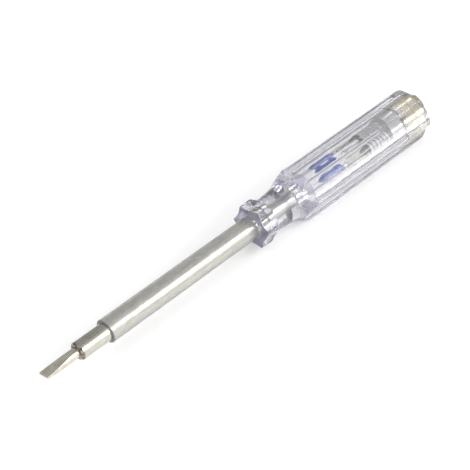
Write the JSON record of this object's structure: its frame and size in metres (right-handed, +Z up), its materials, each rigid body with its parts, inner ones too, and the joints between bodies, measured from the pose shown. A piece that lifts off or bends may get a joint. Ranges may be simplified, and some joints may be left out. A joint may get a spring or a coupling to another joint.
{
  "type": "voltage tester screwdriver",
  "caption": "Mains voltage tester with a flat screwdriver tip, a clear insulated shank, and a clear fluted handle holding a resistor, neon lamp, spring and screw-in end contact.",
  "frame": {"origin": "on the surface that the tool lies on, under the middle of its length and on its centre line", "axes": "+X from the blade's tip to the end cap, +Z up, +Y to the left of the blade when looking from the tip"},
  "size_m": [0.14, 0.0153, 0.014],
  "materials": {
    "tool_steel": "ground flat tip on a satin rod",
    "plated_barrel": "bright nickel plate, slightly warm",
    "clear_sleeve": "clear shrunk tube",
    "clear_handle": "clear moulding with a faint cool tint",
    "plated_ferrule": "bright knurled plate",
    "tinned_wire": "dull tin",
    "plated_cap": "drawn and nickel plated",
    "ceramic": "unglazed ceramic",
    "blue_lacquer": "dipped lacquer, glossy",
    "electrode_metal": "dull coated wire",
    "lamp_glass": "clear drawn tube",
    "spring_wire": "bright drawn wire",
    "brass": "turned brass"
  },
  "bodies": {
    "handle_body": {"blade_rod": "tool_steel", "shank": "plated_barrel", "insulating_sleeve": "clear_sleeve", "handle": "clear_handle", "knurled_ferrule": "plated_ferrule", "resistor_front_lead": "tinned_wire", "resistor_front_cap": "plated_cap", "resistor_core": "ceramic", "resistor_rear_cap": "plated_cap", "resistor_coat": "blue_lacquer", "resistor_rear_lead": "tinned_wire", "lamp_front_cap": "plated_cap", "lamp_front_electrode": "electrode_metal", "lamp_glass": "lamp_glass", "lamp_rear_electrode": "electrode_metal", "lamp_rear_cap": "plated_cap", "contact_spring": "spring_wire"},
    "cup_body": {"spring_cup": "plated_cap"},
    "cap_body": {"end_cap": "brass"}
  },
  "joints": [
    {"name": "cap_travel", "type": "slide", "parent": "handle_body", "child": "cup_body", "axis": [1, 0, 0], "range_m": [0, 0.005]},
    {"name": "cap_turn", "type": "hinge", "parent": "cup_body", "child": "cap_body", "pos_m": [0, 0, 0.00699], "axis": [1, 0, 0], "range_deg": [0, 1800]}
  ],
  "couplings": [
    {"joint": "cap_turn", "follows": "cap_travel", "rad_per_m": 6283.2}
  ]
}
